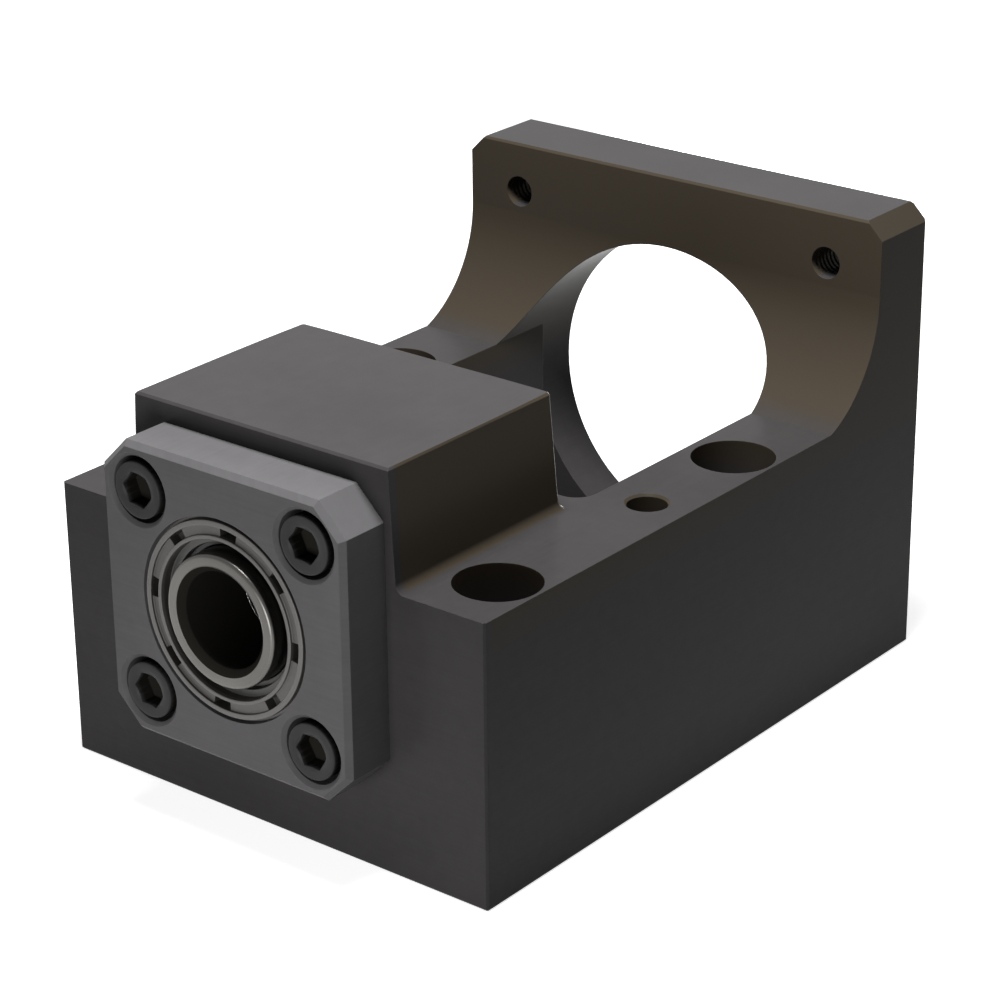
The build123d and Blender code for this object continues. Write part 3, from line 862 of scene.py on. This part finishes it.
class BRACKET_OT_make_front_seal(bpy.types.Operator):
    """Moulded seal with a grooved rim, a shallow channel with pockets, a step and a lip"""

    bl_idname = "bracket.make_front_seal"
    bl_label = "Make Front Seal"

    def execute(self, context):
        finish, sizes = context.scene.bracket_finish, context.scene.bracket_sizes
        low, high = SEAL_BOX
        seat = (high.x - low.x) / 2
        back = high.y - low.y
        rim = seat - sizes.seal_groove_width
        channel_out = rim - sizes.seal_rim_width
        channel_in = channel_out - sizes.seal_channel_width
        bore = channel_in - sizes.seal_inner_rim_width
        lip = (COLLAR_BOX[1].x - COLLAR_BOX[0].x) / 2 + sizes.seal_lip_gap
        lip_back = sizes.seal_lip_depth + sizes.seal_lip_thickness
        outline = [
            (rim, 0), (rim, sizes.seal_groove_depth), (seat, sizes.seal_groove_depth), (seat, back),
            (bore, back), (bore, lip_back), (lip, lip_back), (lip, sizes.seal_lip_depth),
            (sizes.seal_step_radius, sizes.seal_lip_depth),
            (sizes.seal_step_radius, sizes.seal_step_depth), (bore, sizes.seal_step_depth),
            (bore, 0), (channel_in, 0), (channel_in, sizes.seal_channel_depth),
            (channel_out, sizes.seal_channel_depth), (channel_out, 0),
        ]
        profile = rounded_profile(outline, radius=0.12 * MM, steps=5)
        columns = 720
        radius, depth = turned_grids(profile, columns)
        depth += self.pocket_depths(sizes, profile, channel_in, channel_out, columns)
        points = turned_points(radius, depth, low.y, SCREW_CENTRE)
        faces = grid_quads(len(profile), columns, True)
        channel_floor = sizes.seal_channel_depth
        # Painted shade in the seal's channel and, black, deeper in its pockets.
        material = moulded_material(
            "seal_moulding", finish.seal_colour, roughness=0.45, sheen=0.0,
            dark=finish.seal_channel_shade, band=(channel_in, channel_out),
            pockets={"Start": low.y + 1.1 * channel_floor, "End": low.y + 2 * channel_floor},
        )
        make_piece("lip_seal", points, faces, material, "housing", "front_seal")
        return {"FINISHED"}

    @staticmethod
    def pocket_depths(sizes, profile, channel_in, channel_out, columns):
        """How far the channel's floor sinks in each pocket: a smooth step of the distance along
        the channel at the pocket's two ends, and in full on the channel's floor alone."""
        slope, overrun = 0.12 * MM, 0.05 * MM
        side_margin, floor_margin = 0.01 * MM, 0.001 * MM
        angle = np.linspace(0, math.tau, columns, endpoint=False)
        part_turn = math.tau / sizes.seal_pocket_count
        from_pocket = (angle - sizes.seal_pocket_start + part_turn / 2) % part_turn - part_turn / 2
        along = np.abs(from_pocket) * (channel_in + channel_out) / 2
        sink = np.clip((sizes.seal_pocket_width / 2 + overrun - along) / slope, 0, 1)
        sink = sink * sink * (3 - 2 * sink)
        in_channel = profile[:, 0] > channel_in - side_margin
        in_channel &= profile[:, 0] < channel_out + side_margin
        in_channel &= profile[:, 1] <= sizes.seal_channel_depth + floor_margin
        lower_half = np.clip(profile[:, 1] / sizes.seal_channel_depth * 2 - 1, 0, 1)
        share = np.where(in_channel, lower_half, 0)
        return share[:, None] * sink[None, :] * (sizes.seal_pocket_depth - sizes.seal_channel_depth)


class BRACKET_OT_make_front_collar(bpy.types.Operator):
    """Ground collar on the screw, with a rounded front edge and a chamfered bore"""

    bl_idname = "bracket.make_front_collar"
    bl_label = "Make Front Collar"

    def execute(self, context):
        finish, sizes = context.scene.bracket_finish, context.scene.bracket_sizes
        low, high = COLLAR_BOX
        outside = (high.x - low.x) / 2
        length = high.y - low.y
        mouth = sizes.collar_bore_radius + sizes.collar_bore_chamfer
        edge_rows, columns = 9, 360
        turn = np.linspace(0, math.pi / 2, edge_rows)
        edge = np.stack([
            outside - sizes.collar_edge_radius * (1 - np.sin(turn)),
            sizes.collar_edge_radius * (1 - np.cos(turn)),
        ], axis=-1)
        rest = rounded_profile([
            (outside, length), (sizes.collar_bore_radius, length),
            (sizes.collar_bore_radius, sizes.collar_bore_chamfer), (mouth, 0),
        ], radius=0.08 * MM)
        profile = np.vstack([edge, rest])
        points = turned_points(*turned_grids(profile, columns), low.y, SCREW_CENTRE)
        faces = grid_quads(len(profile), columns, True)
        # The collar's bore and the chamfer at its mouth get painted shade.
        material = steel_material(
            "collar_ground", finish.collar_colour, finish.steel_roughness,
            bore_shade_radius=mouth - HOLLOW_FADE,
        )
        make_piece(
            "ground_collar", points, faces, material, "spindle", "front_collar",
        )
        dress("rear_collar", material)
        return {"FINISHED"}


class BRACKET_OT_finish_bearings(bpy.types.Operator):
    """Ground rings and polished balls, with machined brass cages, for both bearings"""

    bl_idname = "bracket.finish_bearings"
    bl_label = "Finish Bearings"

    def execute(self, context):
        finish = context.scene.bracket_finish
        steel, brass = finish.bearing_colour, finish.brass_colour
        ring = steel_material("bearing_ground", steel, roughness=0.22, density=14000.0, stain=0.1)
        ball = steel_material("ball_polished", steel, roughness=0.08, density=200.0, stain=0.05)
        cage = steel_material("cage_brass", brass, roughness=0.32, density=8000.0, stain=0.2)
        for end in ("front", "rear"):
            dress(f"{end}_outer_ring", ring)
            dress(f"{end}_inner_ring", ring)
            dress(f"{end}_cage", cage)
            dress_all(f"{end}_ball_", ball)
        return {"FINISHED"}


class BRACKET_OT_finish_lock_nut(bpy.types.Operator):
    """Blackened lock nut with its thread, two set screws and two brass pads"""

    bl_idname = "bracket.finish_lock_nut"
    bl_label = "Finish Lock Nut"

    def execute(self, context):
        finish = context.scene.bracket_finish
        thread = {"Radius": mount_sizes("lock_nut_thread")["r_mm"] * MM, "Pitch": 1.0 * MM}
        dress("lock_nut", oxide_material(
            "nut_oxide", finish.screw_colour, second_share=0.85, edge=0.9, marks="turned_rings",
            thread=thread,
        ))
        dress("nut_set_screws", oxide_material(
            "set_screw_oxide", finish.screw_colour, second_share=0.85, edge=1.0,
        ))
        pad = steel_material(
            "pad_brass", finish.brass_colour, roughness=0.35, density=6000.0, stain=0.2,
        )
        dress_all("nut_pad_", pad)
        return {"FINISHED"}


class BRACKET_OT_finish_rear_seal(bpy.types.Operator):
    """Black rubber for the seal in the pocket end of the boss"""

    bl_idname = "bracket.finish_rear_seal"
    bl_label = "Finish Rear Seal"

    def execute(self, context):
        colour = context.scene.bracket_finish.rubber_colour
        dress("rear_seal", moulded_material("seal_rubber", colour, roughness=0.62, sheen=0.05))
        return {"FINISHED"}


class BRACKET_OT_set_stage(bpy.types.Operator):
    """Pale floor, soft lamps, white background and the camera"""

    bl_idname = "bracket.set_stage"
    bl_label = "Set Stage"

    def execute(self, context):
        stage = context.scene.bracket_stage
        self.add_floor()
        self.add_world(context.scene, stage.ambient)
        for name, place, target, size, power in LAMPS:
            self.add_lamp(name, place, target, size, getattr(stage, power))
        self.add_camera(context.scene, stage)
        context.scene.view_settings.view_transform = "Standard"
        return {"FINISHED"}

    @staticmethod
    def shown_rays(graph):
        """1 for the camera's rays and for what glossy and clear surfaces show, 0 for the rest."""
        path = graph.put("ShaderNodeLightPath").outputs
        mirrored = graph.math("MAXIMUM", path["Is Glossy Ray"], path["Is Transmission Ray"])
        return graph.math("MAXIMUM", path["Is Camera Ray"], mirrored)

    def add_floor(self):
        """Flat floor under the part, with some white of its own where it is seen or mirrored."""
        half = FLOOR_HALF_WIDTH
        mesh = bpy.data.meshes.new("floor")
        mesh.from_pydata(
            [(-half, -half, 0), (half, -half, 0), (half, half, 0), (-half, half, 0)],
            [], [(0, 1, 2, 3)],
        )
        floor = bpy.data.objects.new("floor", mesh)
        bpy.context.scene.collection.objects.link(floor)
        material, graph, shader = start_material("floor_paper")
        shown = self.shown_rays(graph)
        colour = graph.blend(shown, opaque([FLOOR_GREY] * 3), opaque([FLOOR_PALE] * 3))
        graph.feed(shader.inputs["Base Color"], colour)
        shader.inputs["Roughness"].default_value = 1.0
        shader.inputs["Specular IOR Level"].default_value = 0.0
        shader.inputs["Emission Color"].default_value = (1, 1, 1, 1)
        x, y, _ = graph.split(graph.place())
        away = graph.step(graph.distance(x, y), FLOOR_NEAR, FLOOR_FAR)
        own = graph.math("ADD", graph.math("MULTIPLY", away, 1 - FLOOR_OWN_WHITE), FLOOR_OWN_WHITE)
        graph.feed(shader.inputs["Emission Strength"], graph.math("MULTIPLY", shown, own))
        material.cycles.emission_sampling = "NONE"
        mesh.materials.append(material)

    def add_world(self, scene, ambient):
        """White to the camera and in reflections, and an even dim light for the rest."""
        world = bpy.data.worlds.new("studio")
        world.use_nodes = True
        scene.world = world
        graph = Graph(world.node_tree)
        shown = self.shown_rays(graph)
        strength = graph.math("ADD", graph.math("MULTIPLY", shown, 1.0 - ambient), ambient)
        background = world.node_tree.nodes["Background"]
        background.inputs["Color"].default_value = (1, 1, 1, 1)
        graph.feed(background.inputs["Strength"], strength)
        world.cycles.sampling_method = "NONE"

    @staticmethod
    def add_lamp(name, place, target, size, power):
        """Square area lamp at a place, turned to its target."""
        data = bpy.data.lights.new(name, "AREA")
        data.shape = "SQUARE"
        data.size = size
        data.energy = power
        lamp = bpy.data.objects.new(name, data)
        lamp.location = place
        direction = Vector(target) - Vector(place)
        lamp.rotation_euler = direction.to_track_quat("-Z", "Y").to_euler()
        lamp.visible_camera = False
        bpy.context.scene.collection.objects.link(lamp)

    @staticmethod
    def add_camera(scene, stage):
        """Camera from its place and its turn, tilt and roll."""
        yaw, pitch, roll = stage.camera_turn
        level = math.cos(pitch)
        forward = Vector((-math.sin(yaw) * level, math.cos(yaw) * level, -math.sin(pitch)))
        right = Vector((math.cos(yaw), math.sin(yaw), 0))
        up = right.cross(forward)
        across = right * math.cos(roll) + up * math.sin(roll)
        upward = up * math.cos(roll) - right * math.sin(roll)
        turn = Matrix((across, upward, -forward)).transposed()
        data = bpy.data.cameras.new("camera")
        data.sensor_width = 36.0
        data.lens = stage.camera_lens
        data.clip_start = 0.01
        camera = bpy.data.objects.new("camera", data)
        camera.matrix_world = Matrix.Translation(Vector(stage.camera_place)) @ turn.to_4x4()
        scene.collection.objects.link(camera)
        scene.camera = camera


OPERATORS = (
    BRACKET_OT_finish_block,
    BRACKET_OT_finish_cover,
    BRACKET_OT_make_cap_screws,
    BRACKET_OT_make_front_seal,
    BRACKET_OT_make_front_collar,
    BRACKET_OT_finish_bearings,
    BRACKET_OT_finish_lock_nut,
    BRACKET_OT_finish_rear_seal,
    BRACKET_OT_set_stage,
)


class BRACKET_PT_tools(bpy.types.Panel):
    """Buttons for the bracket's pieces, finishes and stage"""

    bl_idname = "BRACKET_PT_tools"
    bl_label = "Motor Bracket"
    bl_space_type = "VIEW_3D"
    bl_region_type = "UI"
    bl_category = "Motor Bracket"

    def draw(self, context):
        for operator in OPERATORS:
            self.layout.operator(operator.bl_idname)
        self.layout.prop(context.scene.bracket_finish, "oxide_roughness")
        self.layout.prop(context.scene.bracket_stage, "top_light")


CLASSES = (BracketFinish, BracketSizes, BracketStage, *OPERATORS, BRACKET_PT_tools)


def register():
    """Register the classes and hang the settings on the scene."""
    for item in CLASSES:
        bpy.utils.register_class(item)
    bpy.types.Scene.bracket_finish = bpy.props.PointerProperty(type=BracketFinish)
    bpy.types.Scene.bracket_sizes = bpy.props.PointerProperty(type=BracketSizes)
    bpy.types.Scene.bracket_stage = bpy.props.PointerProperty(type=BracketStage)


def unregister():
    """Take the settings off the scene and unregister the classes."""
    del bpy.types.Scene.bracket_stage
    del bpy.types.Scene.bracket_sizes
    del bpy.types.Scene.bracket_finish
    for item in reversed(CLASSES):
        bpy.utils.unregister_class(item)


def main():
    register()
    for operator in OPERATORS:
        space, name = operator.bl_idname.split(".")
        getattr(getattr(bpy.ops, space), name)()


if __name__ == "__main__":
    main()
